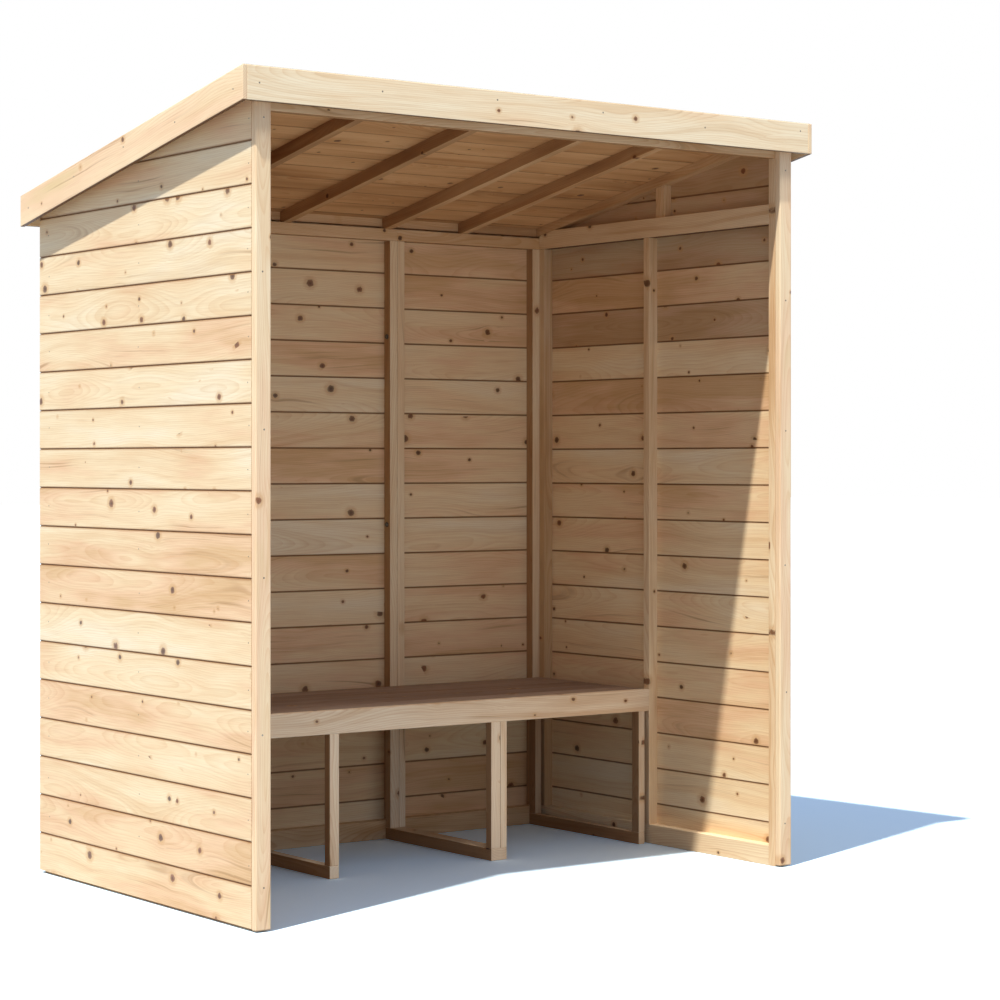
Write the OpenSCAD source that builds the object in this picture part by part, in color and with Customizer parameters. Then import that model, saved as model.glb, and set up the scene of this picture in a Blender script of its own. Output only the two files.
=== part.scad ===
// Garden arbor: a lean-to shelter of boarded timber panels, open at the front,
// with a bench across its back half and a boarded, felted roof edged with fascias.
// X runs along the front, Y from the front to the back, Z up.
// The origin is on the ground, below the middle of the overall box.

/* [Shelter] */
// Width over the side boarding
width = 1846; // [1500:1:2600]
// Depth from the front edge of the side boarding to the back of the back boarding
depth = 1200; // [1000:1:1700]
// Height of the walls at the front edge, up to the underside of the roof frame
front_height = 2160; // [2060:1:2500]
// Fall of the roof from front to back, in degrees
roof_slope = 10.26; // [7:0.01:13]

/* [Boarding] */
// Thickness of the wall boards
board_t = 12; // [10:0.5:18]
// Cover width of one wall board, from joint to joint
board_pitch = 112; // [90:1:140]
// Height of the lowest board up to its first joint
lowest_board = 114; // [80:1:140]
// Width of the V joint on the weather side
v_width = 6; // [3:0.5:10]
// Depth of the V joint on the weather side
v_depth = 3; // [1.5:0.5:5]
// Width of the open seam at a joint on the room side
seam_width = 2; // [1:0.5:4]
// Depth of the open seam on the room side
seam_depth = 4; // [1:0.5:5]

/* [Panel frames] */
// Depth of the studs and rails behind the boards
frame_depth = 34; // [28:1:60]
// Width of the side panel studs
stud_w = 28; // [24:1:60]
// Width of the back panel studs
back_stud_w = 28; // [24:1:60]
// Height of the bottom rails
bottom_rail_h = 60; // [34:1:90]
// Height of the eaves rails of the side panels
eaves_rail_h = 60; // [34:1:90]
// Height of the back panels' top rails on their room side
back_rail_h = 37; // [30:1:60]
// Distance from the front edge to the front of the middle studs and of the bench
mid_stud_y = 583; // [520:1:640]
// Width of the short gable studs along the panel
gable_stud_w = 42; // [28:1:60]
// Thickness of the short gable studs
gable_stud_t = 28; // [20:1:34]
// Distance from the short gable stud's back to the middle stud's front
gable_stud_gap = 25; // [0:1:60]
// Height of the header over the open front
header_h = 60; // [40:1:90]
// Thickness of the header, front to back
header_t = 28; // [20:1:45]
// Thickness of the cover strips on the front ends of the side walls
strip_t = 22; // [16:1:34]

/* [Roof] */
// Height and width of the roof rails, and width of the rafters
rafter = 28; // [24:1:60]
// Overhang of the roof boards past the front edge of the walls
front_overhang = 37; // [32:1:90]
// Overhang of the roof boards past the side walls
side_overhang = 42; // [34:1:100]
// Clear width from the left end rafter to the first rafter
left_bay = 378; // [250:1:400]
// Spacing of the first three rafters
rafter_spacing = 380; // [300:1:400]
// Clear width from the last rafter to the right end rafter
right_bay = 292; // [200:1:350]
// Thickness of the roof boards
deck_t = 9; // [8:0.5:18]
// Cover width of one roof board
deck_pitch = 112; // [90:1:140]
// Thickness of the roofing felt
felt_t = 1.5; // [1:0.1:3]
// Thickness of the fascia boards
fascia_t = 14; // [10:1:22]
// Plumb height of the fascia boards
fascia_h = 94; // [80:1:140]

/* [Bench] */
// Height of the seat above the ground
seat_height = 485; // [400:1:550]
// Thickness of the seat boards
seat_t = 18; // [14:1:28]
// Number of seat boards
seat_boards = 5; // [3:1:8]
// Gap between the seat boards
seat_gap = 5; // [2:1:12]
// Height of the bench rails
bench_rail_h = 68; // [50:1:110]
// Thickness of the bench rails
bench_rail_t = 28; // [22:1:45]
// Height of the bearers under the seat boards
bearer_h = 45; // [30:1:50]
// Width of the inner bench legs
leg_w = 32; // [28:1:60]
// Thickness of the inner bench legs, front to back
leg_t = 28; // [24:1:60]
// Width of the outer bench legs
end_leg_w = 24; // [20:1:60]
// Thickness of the outer bench legs, front to back
end_leg_t = 34; // [24:1:60]
// Width of the leg at the joint in the middle of the bench
middle_leg_w = 58; // [34:1:80]
// Height of the runners on the ground under the legs
runner_h = 37; // [28:1:60]
// Distance of the outer legs from the side panel frames
end_leg_gap = 18; // [0:1:60]
// Distance of the left inner leg's middle from the left edge
left_leg_x = 626; // [500:1:750]
// Distance of the middle leg's middle from the left edge
middle_leg_x = 1214; // [1000:1:1300]

/* [Hidden] */

// colours of the timber as it weathers in sun and shade, and of the felt
wall_colour = "#f3dfbf";
frame_colour = "#e0c294";
trim_colour = "#f2dcbc";
roof_colour = "#c9a878";
bench_colour = "#d9bc92";
felt_colour = "#4a4d4f";

// levels of the roof layers above the top plane of the walls, square to the slope
fall = tan(roof_slope);
plumb = 1 / cos(roof_slope);
deck_level = rafter;
felt_level = deck_level + deck_t;
top_level = felt_level + felt_t;

// places across the width
side_x = width / 2;
wall_t = board_t + frame_depth;
inner_x = side_x - wall_t;
roof_x = side_x + side_overhang;
third = width / 3;

// places from front to back, with the origin in the middle of the overall depth
fascia_reach = front_overhang + fascia_t;
front_y = (fascia_reach - depth - fascia_t) / 2;
back_y = front_y + depth;
back_board_y = back_y - board_t;
back_frame_y = back_y - wall_t;
deck_front_y = front_y - front_overhang;
rail_back_y = deck_front_y + rafter;
face_y = front_y - fascia_reach;
end_y = back_y + fascia_t;
bench_y = front_y + mid_stud_y;
side_rail_l = back_frame_y - front_y - stud_w;
gable_y = bench_y - gable_stud_gap - gable_stud_w;
seat_front_y = bench_y + bench_rail_t;
seat_board_w = (back_frame_y - seat_front_y) / seat_boards - seat_gap;

// heights
back_top = roof_z(back_y);
eaves_height = back_top - back_rail_h;
eaves_top = eaves_height + eaves_rail_h;
seat_underside = seat_height - seat_t;
bench_rail_z = seat_height - bench_rail_h;
back_rail_z = seat_underside - bench_rail_h;
bearer_z = seat_underside - bearer_h;

// left side of each rafter; left side, width and thickness of each bench leg
rafter_places = [
    left_bay - inner_x, left_bay - inner_x + rafter_spacing,
    left_bay - inner_x + 2 * rafter_spacing, inner_x - right_bay - rafter
];
legs = [
    [end_leg_gap - inner_x, end_leg_w, end_leg_t],
    [left_leg_x - side_x - leg_w / 2, leg_w, leg_t],
    [middle_leg_x - side_x - middle_leg_w / 2, middle_leg_w, leg_t],
    [inner_x - end_leg_gap - end_leg_w, end_leg_w, end_leg_t]
];

// Height of the walls' top plane at a place from front to back
function roof_z(y) = front_height - fall * (y - front_y);

// Heights of the joints between wall boards
function joints(top) = [for (z = lowest_board; z < top - v_width; z = z + board_pitch) z];

// Outline of a boarded wall: V joints on the weather side at 0, seams on the room side
function boarding(top) = concat(
    [[0, 0]],
    [for (z = joints(top)) each [[0, z - v_width / 2], [v_depth, z], [0, z + v_width / 2]]],
    [[0, top], [board_t, top]],
    [for (i = [len(joints(top)) - 1 : -1 : 0])
        let (z = joints(top)[i])
        each [
            [board_t, z + seam_width / 2], [board_t - seam_depth, z + seam_width / 2],
            [board_t - seam_depth, z - seam_width / 2], [board_t, z - seam_width / 2]
        ]],
    [[board_t, 0]]
);

// A block given by its lowest corner and its size
module timber(x, y, z, size) {
    translate([x, y, z]) cube(size);
}

// An outline in Y and Z, drawn along X from x for a length
module along_x(x, length) {
    translate([x, 0, 0]) rotate([90, 0, 90]) linear_extrude(length) children();
}

// Everything under the top plane of the walls, for pieces cut to the fall of the roof
module under_roof() {
    intersection() {
        children();
        along_x(-width, 2 * width) polygon([
            [-depth, -1], [depth, -1], [depth, roof_z(depth)], [-depth, roof_z(-depth)]
        ]);
    }
}

// A sloping piece of the roof between two levels, with plumb ends
module roof_piece(x, length, y0, y1, low, high) {
    along_x(x, length) polygon([
        [y0, roof_z(y0) + low * plumb], [y1, roof_z(y1) + low * plumb],
        [y1, roof_z(y1) + high * plumb], [y0, roof_z(y0) + high * plumb]
    ]);
}

// A fascia board, whose top follows the felt and whose foot hangs at one height below it
module side_fascia(x) {
    top = top_level * plumb;
    along_x(x, fascia_t) polygon([
        [face_y, roof_z(face_y) + top - fascia_h], [end_y, roof_z(end_y) + top - fascia_h],
        [end_y, roof_z(end_y) + top], [face_y, roof_z(face_y) + top]
    ]);
}

module cross_fascia(y) {
    top = top_level * plumb;
    along_x(-roof_x, 2 * roof_x) polygon([
        [y, roof_z(y) + top - fascia_h], [y + fascia_t, roof_z(y) + top - fascia_h],
        [y + fascia_t, roof_z(y + fascia_t) + top], [y, roof_z(y) + top]
    ]);
}

// The other side of the shelter
module right() {
    mirror([1, 0, 0]) children();
}

// Side panel, drawn on the left
module side_cladding() {
    color(wall_colour) under_roof()
        translate([-side_x, back_y, 0]) rotate([90, 0, 0])
            linear_extrude(depth) polygon(boarding(front_height));
}

module side_front_stud() {
    color(frame_colour) under_roof()
        timber(-side_x + board_t, front_y, 0, [frame_depth, stud_w, front_height]);
}

module side_stud(y) {
    color(frame_colour)
        timber(-side_x + board_t, y, bottom_rail_h,
               [frame_depth, stud_w, eaves_height - bottom_rail_h]);
}

module side_bottom_rail() {
    color(frame_colour)
        timber(-side_x + board_t, front_y + stud_w, 0, [frame_depth, side_rail_l, bottom_rail_h]);
}

module side_eaves_rail() {
    color(frame_colour) under_roof()
        timber(-side_x + board_t, front_y + stud_w, eaves_height,
               [frame_depth, side_rail_l, eaves_rail_h]);
}

module side_gable_stud() {
    color(frame_colour) under_roof()
        timber(-side_x + board_t, gable_y, eaves_top,
               [gable_stud_t, gable_stud_w, front_height - eaves_top]);
}

module side_end_rafter() {
    color(roof_colour) roof_piece(-side_x, wall_t, rail_back_y, back_y - rafter, 0, rafter);
}

// Cover strip on the front end of a side wall, drawn on the left
module front_strip() {
    color(trim_colour) under_roof()
        timber(-side_x, front_y - strip_t, 0, [wall_t, strip_t, front_height * 2]);
}

// Back panels with level tops, each a boarded frame of two studs between two rails
module back_cladding(x0, x1) {
    color(wall_colour)
        translate([x0, back_y, 0]) rotate([90, 0, 90]) mirror([1, 0, 0])
            linear_extrude(x1 - x0) polygon(boarding(back_top));
}

module back_stud(x, w) {
    timber(x, back_frame_y, bottom_rail_h, [w, frame_depth, eaves_height - bottom_rail_h]);
}

module back_rails(x0, x1) {
    color(frame_colour) {
        timber(x0, back_frame_y, 0, [x1 - x0, frame_depth, bottom_rail_h]);
        timber(x0, back_frame_y, eaves_height, [x1 - x0, frame_depth, back_rail_h]);
    }
}

module back_side_studs() {
    color(frame_colour) {
        back_stud(-side_x + board_t, frame_depth + back_stud_w);
        back_stud(-third / 2 - back_stud_w, back_stud_w);
    }
}

module back_left_cladding() { back_cladding(-side_x + board_t, -third / 2); }
module back_middle_cladding() { back_cladding(-third / 2, third / 2); }
module back_right_cladding() { back_cladding(third / 2, side_x - board_t); }
module back_left_studs() { back_side_studs(); }
module back_right_studs() { right() back_side_studs(); }
module back_left_rails() { back_rails(-side_x + board_t, -third / 2); }
module back_middle_rails() { back_rails(-third / 2, third / 2); }
module back_right_rails() { back_rails(third / 2, side_x - board_t); }

module back_middle_studs() {
    color(frame_colour)
        for (x = [-third / 2, third / 2 - back_stud_w])
            back_stud(x, back_stud_w);
}

// Header across the open front, its top cut to the fall of the roof
module front_header() {
    color(frame_colour) under_roof()
        timber(-inner_x, front_y, front_height - header_h, [2 * inner_x, header_t, header_h]);
}

// Roof frame, its rafters notched over the header and the back panels
module rafters() {
    end = back_y - rafter;
    notch = front_y + header_t;
    top = deck_level * plumb;
    drop = roof_z(back_frame_y) - back_top;
    color(roof_colour)
        for (x = rafter_places)
            along_x(x, rafter) polygon([
                [rail_back_y, roof_z(rail_back_y) + top], [rail_back_y, roof_z(rail_back_y)],
                [notch, roof_z(notch)], [notch, roof_z(notch) - drop],
                [back_frame_y, back_top], [end, back_top], [end, roof_z(end) + top]
            ]);
}

module front_roof_rail() {
    color(roof_colour)
        roof_piece(rafter - roof_x, 2 * (roof_x - rafter), deck_front_y, rail_back_y, 0, rafter);
}

module back_roof_rail() {
    color(roof_colour)
        roof_piece(rafter - roof_x, 2 * (roof_x - rafter), back_y - rafter, back_y, 0, rafter);
}

module edge_batten() {
    color(roof_colour) roof_piece(-roof_x, rafter, deck_front_y, back_y, 0, rafter);
}

// Roof boards laid across the fall, with open seams between them on the underside
module roof_boards() {
    seams = [for (y = deck_front_y + deck_pitch; y < back_y - seam_width; y = y + deck_pitch) y];
    low = deck_level * plumb;
    high = felt_level * plumb;
    color(roof_colour) along_x(-roof_x, 2 * roof_x) polygon(concat(
        [[back_y, roof_z(back_y) + low], [back_y, roof_z(back_y) + high],
         [deck_front_y, roof_z(deck_front_y) + high], [deck_front_y, roof_z(deck_front_y) + low]],
        [for (y = seams)
            let (y0 = y - seam_width / 2, y1 = y + seam_width / 2)
            each [
                [y0, roof_z(y0) + low], [y0, roof_z(y0) + low + seam_depth],
                [y1, roof_z(y1) + low + seam_depth], [y1, roof_z(y1) + low]
            ]]
    ));
}

module roof_felt() {
    color(felt_colour)
        roof_piece(-roof_x, 2 * roof_x, deck_front_y, back_y, felt_level, top_level);
}

// Fascias, the side ones running past the ends of the front and back ones
module front_fascia() { color(trim_colour) cross_fascia(face_y); }
module back_fascia() { color(trim_colour) cross_fascia(back_y); }
module left_fascia() { color(trim_colour) side_fascia(-roof_x - fascia_t); }
module right_fascia() { color(trim_colour) side_fascia(roof_x); }

// Bench
module bench_seat() {
    color(bench_colour)
        for (i = [0 : seat_boards - 1])
            timber(-inner_x, seat_front_y + seat_gap + i * (seat_board_w + seat_gap), seat_underside,
                   [2 * inner_x, seat_board_w, seat_t]);
}

module bench_front_rail() {
    color(bench_colour) timber(-inner_x, bench_y, bench_rail_z, [2 * inner_x, bench_rail_t, bench_rail_h]);
}

module bench_back_rail() {
    color(bench_colour)
        timber(-inner_x, back_frame_y - bench_rail_t, back_rail_z,
               [2 * inner_x, bench_rail_t, bench_rail_h]);
}

module bench_legs() {
    color(bench_colour)
        for (leg = legs) {
            timber(leg[0], bench_y, runner_h, [leg[1], leg[2], bench_rail_z - runner_h]);
            timber(leg[0], back_frame_y - leg[2], runner_h, [leg[1], leg[2], back_rail_z - runner_h]);
        }
}

module bench_runners() {
    color(bench_colour)
        for (leg = legs)
            timber(leg[0], bench_y, 0, [leg[1], back_frame_y - bench_y, runner_h]);
}

module bench_bearers() {
    color(bench_colour)
        for (leg = legs)
            timber(leg[0], seat_front_y, bearer_z,
                   [leg[1], back_frame_y - bench_rail_t - seat_front_y, bearer_h]);
}

module left_cladding() { side_cladding(); }
module left_front_stud() { side_front_stud(); }
module left_mid_stud() { side_stud(bench_y); }
module left_back_stud() { side_stud(back_frame_y - stud_w); }
module left_bottom_rail() { side_bottom_rail(); }
module left_eaves_rail() { side_eaves_rail(); }
module left_gable_stud() { side_gable_stud(); }
module left_end_rafter() { side_end_rafter(); }
module right_cladding() { right() side_cladding(); }
module right_front_stud() { right() side_front_stud(); }
module right_mid_stud() { right() side_stud(bench_y); }
module right_back_stud() { right() side_stud(back_frame_y - stud_w); }
module right_bottom_rail() { right() side_bottom_rail(); }
module right_eaves_rail() { right() side_eaves_rail(); }
module right_gable_stud() { right() side_gable_stud(); }
module right_end_rafter() { right() side_end_rafter(); }
module left_front_strip() { front_strip(); }
module right_front_strip() { right() front_strip(); }
module left_edge_batten() { edge_batten(); }
module right_edge_batten() { right() edge_batten(); }

left_cladding();
left_front_stud();
left_mid_stud();
left_back_stud();
left_bottom_rail();
left_eaves_rail();
left_gable_stud();
left_end_rafter();
right_cladding();
right_front_stud();
right_mid_stud();
right_back_stud();
right_bottom_rail();
right_eaves_rail();
right_gable_stud();
right_end_rafter();
back_left_cladding();
back_middle_cladding();
back_right_cladding();
back_left_studs();
back_middle_studs();
back_right_studs();
back_left_rails();
back_middle_rails();
back_right_rails();
left_front_strip();
right_front_strip();
front_header();
rafters();
front_roof_rail();
back_roof_rail();
left_edge_batten();
right_edge_batten();
roof_boards();
roof_felt();
front_fascia();
back_fascia();
left_fascia();
right_fascia();
bench_seat();
bench_front_rail();
bench_back_rail();
bench_legs();
bench_runners();
bench_bearers();
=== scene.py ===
"""Looks of a garden arbor: a three-walled boarded shelter with a bench and a felted lean-to roof.

Lengths are in metres. X runs along the open front, Y from front to back, Z up.
"""

import json
import math
import random

import bmesh
import bpy
from mathutils import Matrix, Vector


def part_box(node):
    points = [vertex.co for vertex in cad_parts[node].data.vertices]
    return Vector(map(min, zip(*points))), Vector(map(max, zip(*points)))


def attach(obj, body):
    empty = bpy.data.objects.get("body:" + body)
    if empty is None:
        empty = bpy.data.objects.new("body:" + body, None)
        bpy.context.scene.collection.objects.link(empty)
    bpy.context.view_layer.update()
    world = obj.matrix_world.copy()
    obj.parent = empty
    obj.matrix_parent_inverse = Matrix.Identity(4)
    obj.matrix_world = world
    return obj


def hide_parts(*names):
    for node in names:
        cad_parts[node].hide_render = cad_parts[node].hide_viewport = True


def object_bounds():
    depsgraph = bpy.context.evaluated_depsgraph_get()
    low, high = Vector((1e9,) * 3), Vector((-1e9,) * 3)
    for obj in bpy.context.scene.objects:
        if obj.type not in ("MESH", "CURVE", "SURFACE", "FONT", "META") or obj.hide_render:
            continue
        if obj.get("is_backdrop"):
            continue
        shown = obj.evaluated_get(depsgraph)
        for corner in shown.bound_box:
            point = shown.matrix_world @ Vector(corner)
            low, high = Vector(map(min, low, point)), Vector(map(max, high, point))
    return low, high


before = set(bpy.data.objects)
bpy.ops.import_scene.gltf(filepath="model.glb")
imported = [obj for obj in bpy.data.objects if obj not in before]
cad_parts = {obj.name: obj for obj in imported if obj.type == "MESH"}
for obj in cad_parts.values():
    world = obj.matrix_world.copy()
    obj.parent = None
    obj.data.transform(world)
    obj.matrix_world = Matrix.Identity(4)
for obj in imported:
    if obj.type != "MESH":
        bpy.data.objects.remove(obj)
cad_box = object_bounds()


# --- Wall boards -----------------------------------------------------------------------------
# Matched spruce boards, left raw, with a tongue on the top edge and a groove in the bottom one.
# Their chamfered edges meet in V joints on the weather side and leave thin seams in the room.
# They lie flat across the studs: side walls are cut along the fall of the roof, back ones level.

BOARD_PITCH = 0.112
LOWEST_JOINT = {"left": 0.117, "right": 0.122, "back": 0.1235}
FOOT = 0.008
CHAMFER = 0.003
GAP = 0.0010
SEAM = 0.0020
SEAM_ARRIS = 0.0012
# the joints and seams, and bands beside them, are darkened in the finish: partly grime, partly
# painted shade in the seam
SEAM_GRIME_AND_SHADE = 0.0025
SEAM_EDGE = 0.45
SEAM_MOUTH = 0.7
TONGUE = 0.005
JOINT_GRIME_AND_SHADE = 0.005
EDGE = 0.35
GROOVE_PLAY = 0.0003
RINGS_PER_METRE = 215.0
FALL = math.tan(math.radians(10.26))


def linear(red, green, blue):
    """A colour as a screen shows it, from 0 to 255, as the shader's linear values."""
    shares = [c / 255 for c in (red, green, blue)]
    curve = [c / 12.92 if c <= 0.04045 else ((c + 0.055) / 1.055) ** 2.4 for c in shares]
    return (*curve, 1.0)


class Wire:
    """A value in a node tree. Sums on it add Math nodes, and ["Name"] takes a sister output."""

    def __init__(self, tree, socket=None):
        self.tree = tree
        self.socket = socket

    def __getitem__(self, name):
        return Wire(self.tree, self.socket.node.outputs[name])

    def node(self, kind, settings=None, inputs=None):
        """Adds a node, sets it up, then fills or links its inputs, named or numbered."""
        made = self.tree.nodes.new(kind)
        for name, value in (settings or {}).items():
            if name == "stops":
                ramp_stops(made.color_ramp, value)
            else:
                setattr(made, name, value)
        for key, value in (inputs or {}).items():
            if isinstance(key, int):
                socket = made.inputs[key]
            else:
                socket = next(s for s in made.inputs if s.name == key and s.enabled)
            if isinstance(value, Wire):
                self.tree.links.new(value.socket, socket)
            else:
                socket.default_value = value
        shown = [s for s in made.outputs if s.enabled]
        return Wire(self.tree, shown[0] if shown else None)

    def maths(self, operation, *values):
        return self.node("ShaderNodeMath", {"operation": operation}, dict(enumerate(values)))

    def vector(self, operation, *values):
        return self.node("ShaderNodeVectorMath", {"operation": operation}, dict(enumerate(values)))

    def place(self, x, y, z):
        return self.node("ShaderNodeCombineXYZ", {}, {0: x, 1: y, 2: z})

    def noise(self, detail=2.0, rough=0.5):
        """Cloudy values about 0.5 over this vector, with features about one unit across."""
        return self.node(
            "ShaderNodeTexNoise",
            {"noise_dimensions": "3D"},
            {"Vector": self, "Scale": 1.0, "Detail": detail, "Roughness": rough},
        )["Fac"]

    def step(self, low, high):
        """0 below low, 1 above high, and smooth between them."""
        return self.node(
            "ShaderNodeMapRange",
            {"interpolation_type": "SMOOTHSTEP"},
            {"Value": self, "From Min": low, "From Max": high},
        )

    def ramp(self, stops):
        return self.node("ShaderNodeValToRGB", {"stops": stops}, {0: self})

    def mixed(self, first, second, blend="MIX"):
        """A colour between two others, by this value, or the first one tinted by the second."""
        return self.node(
            "ShaderNodeMix",
            {"data_type": "RGBA", "clamp_factor": True, "blend_type": blend},
            {"Factor": self, "A": first, "B": second},
        )

    def __add__(self, other):
        return self.maths("ADD", self, other)

    def __sub__(self, other):
        return self.maths("SUBTRACT", self, other)

    def __mul__(self, other):
        return self.maths("MULTIPLY", self, other)

    def __truediv__(self, other):
        return self.maths("DIVIDE", self, other)

    def __pow__(self, other):
        return self.maths("POWER", self, other)

    def __rsub__(self, other):
        return self.maths("SUBTRACT", other, self)

    __radd__ = __add__
    __rmul__ = __mul__


def ramp_stops(ramp, stops):
    """Gives a colour ramp these (place, colour) stops."""
    while len(ramp.elements) > 1:
        ramp.elements.remove(ramp.elements[-1])
    ramp.elements[0].position, ramp.elements[0].color = stops[0]
    for place, colour in stops[1:]:
        ramp.elements.new(place).color = colour


def new_finish(name):
    """An empty material, a wire to start its nodes from, and its output node."""
    finish = bpy.data.materials.new(name)
    finish.use_nodes = True
    finish.node_tree.nodes.clear()
    out = finish.node_tree.nodes.new("ShaderNodeOutputMaterial")
    return finish, Wire(finish.node_tree), out


def timber_finish(name, shades, figure=0.3, knots=0.5, roughness=0.62, room=(255, 255, 255)):
    """Raw softwood. The mesh's marks say how it lies: "grain" is the place along, across and
    through the tree from its pith, "tone" the timber's shade, random or a painted light or shade,
    "joint" how deep in a seam, which darkens with grime and painted shade, "sawn_end" cut across
    the grain, "sawn_side" the painted shade on chosen sides and undersides, and "room_side"
    towards the room. A tone or a sawn_side over 1 is darker still, a painted shade."""
    finish, start, out = new_finish(name)
    grain = start.node("ShaderNodeAttribute", {"attribute_name": "grain"})["Vector"]
    tone, sawn_end, sawn_side, joint, room_side = (
        start.node("ShaderNodeAttribute", {"attribute_name": mark})["Fac"]
        for mark in ("tone", "sawn_end", "sawn_side", "joint", "room_side")
    )
    split = start.node("ShaderNodeSeparateXYZ", {}, {0: grain})
    along, across, through = split["X"], split["Y"], split["Z"]

    # knots: one to a cell of the trunk, longer through the timber than across its face
    length, width, depth = 0.24, 0.085, 0.060
    cells = start.node(
        "ShaderNodeTexVoronoi",
        {"voronoi_dimensions": "3D", "feature": "F1"},
        {"Vector": start.place(along / length, across / width, through / depth),
         "Scale": 1.0, "Randomness": 0.85},
    )
    middle = start.node("ShaderNodeSeparateXYZ", {}, {0: cells["Position"]})
    chance = start.node("ShaderNodeSeparateXYZ", {}, {0: cells["Color"]})
    dx = along - middle["X"] * length
    dy = across - middle["Y"] * width
    dz = through - middle["Z"] * depth
    off = start.maths("SQRT", dx * dx * 0.75 + dy * dy + dz * dz * 0.015)
    size = (0.0042 + 0.0086 * chance["Y"] ** 1.8) * chance["X"].step(1 - knots, 1.02 - knots)
    wobble = start.place(along * 110.0, across * 110.0, through * 60.0).noise() - 0.5
    edge = off + wobble * size * 0.7
    knot = 1.0 - edge.step(size * 0.70, size * 1.05 + 1e-5)
    heart = 1.0 - edge.step(size * 0.10, size * 0.65 + 1e-5)
    collar = (1.0 - edge.step(size * 1.0, size * 2.3 + 1e-5)) * (1.0 - knot)

    # growth rings: cylinders about a wandering pith, pushed aside where a knot stands
    swell = start.maths("EXPONENT", 0.0 - off / (size * 3.0 + 1e-4))
    wander = start.node(
        "ShaderNodeTexNoise",
        {"noise_dimensions": "1D"},
        {"W": along * 0.8, "Scale": 1.0, "Detail": 2.0},
    )
    drift = start.node("ShaderNodeSeparateXYZ", {}, {0: wander["Color"]})
    side = across + (drift["X"] - 0.5) * 0.10 - dy / (off + 0.004) * size * swell * 1.3
    deep = through + (drift["Y"] - 0.5) * 0.12
    sway = start.place(along * 3.0, across * 16.0, through * 16.0).noise() - 0.5
    radius = start.maths("SQRT", side * side + deep * deep) + sway * 0.008
    ring = start.maths("FRACT", radius * RINGS_PER_METRE)
    late = ring ** 2.5 * (1.0 - ring.step(0.90, 1.0))
    band = start.place(along * 0.9, radius * 60.0, tone * 9.0).noise(3.0, 0.6)
    fibre = start.place(along * 9.0, across * 420.0, through * 420.0).noise(3.0, 0.6)
    patch = start.place(along * 1.5, across * 9.0, tone * 17.0 + through * 4.0).noise(3.0, 0.55)
    streak = start.place(along * 1.6, radius * 130.0, through * 12.0).noise()

    # the boards' own colour, from the one shade to the next; past a tone of 1 greyer and darker, a
    # painted shade
    unshaded_tone = start.maths("MINIMUM", tone, 1.0)
    base = (unshaded_tone * 0.60 + (patch - 0.5) * 2.2 + 0.20).ramp([(p, linear(*c)) for p, c in shades])
    base = (tone - 1.0).mixed(base, linear(200, 198, 200), "MULTIPLY")
    sided = room_side.mixed(base, linear(*room), "MULTIPLY")
    banded = (band.step(0.45, 0.75) * figure * 1.1).mixed(sided, linear(222, 194, 160), "MULTIPLY")
    ringed = (late * figure).mixed(banded, linear(222, 190, 152), "MULTIPLY")
    fibred = ((0.60 - fibre) * 0.9).mixed(ringed, linear(214, 190, 160), "MULTIPLY")
    resinous = streak.step(0.60, 0.76) * patch.step(0.44, 0.60) * 0.6
    streaked = resinous.mixed(fibred, linear(168, 126, 84))
    collared = (collar * 0.5).mixed(streaked, linear(212, 166, 112))
    knot_wood = chance["Z"].mixed(linear(92, 58, 30), linear(138, 82, 46))
    knotted = (knot * 0.9).mixed(collared, knot_wood)
    hearted = (heart * 0.6).mixed(knotted, linear(62, 38, 20))
    end_wood = (late * 0.5 + 0.10).mixed(base, linear(178, 140, 100), "MULTIPLY")
    whole = sawn_end.mixed(hearted, end_wood)
    # painted shade: marked sides and undersides are darkened, more so past 1
    side_shaded = (sawn_side * 0.9).mixed(whole, linear(180, 153, 126), "MULTIPLY")
    side_shaded = (sawn_side - 1.0).mixed(side_shaded, linear(150, 132, 112), "MULTIPLY")
    # seams darken: partly grime, partly painted shade inside the joint
    joint_grime_and_shade = joint.step(0.05, 0.70) * (1.0 - sawn_end)
    colour = (joint_grime_and_shade * 0.90).mixed(side_shaded, linear(140, 96, 56))

    height = fibre * 0.5 + late * 0.4 + knot * 0.6 + band * 0.4
    bump = start.node(
        "ShaderNodeBump", {}, {"Strength": 0.4, "Distance": 0.0007, "Height": height})
    shader = start.node(
        "ShaderNodeBsdfPrincipled",
        {},
        {
            "Base Color": colour,
            "Roughness": roughness - knot * 0.18 + (fibre - 0.5) * 0.16,
            "Normal": bump,
            "Specular IOR Level": 0.30,
        },
    )
    finish.node_tree.links.new(shader.socket, out.inputs["Surface"])
    return finish


def new_piece(name, mesh, finish, nodes=()):
    """Puts a finished mesh in the scene as a piece of the arbor, in place of its CAD nodes."""
    piece = bpy.data.objects.new(name, mesh)
    bpy.context.scene.collection.objects.link(piece)
    mesh.materials.clear()
    mesh.materials.append(finish)
    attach(piece, "root")
    if nodes:
        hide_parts(*nodes)
    return piece


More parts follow.
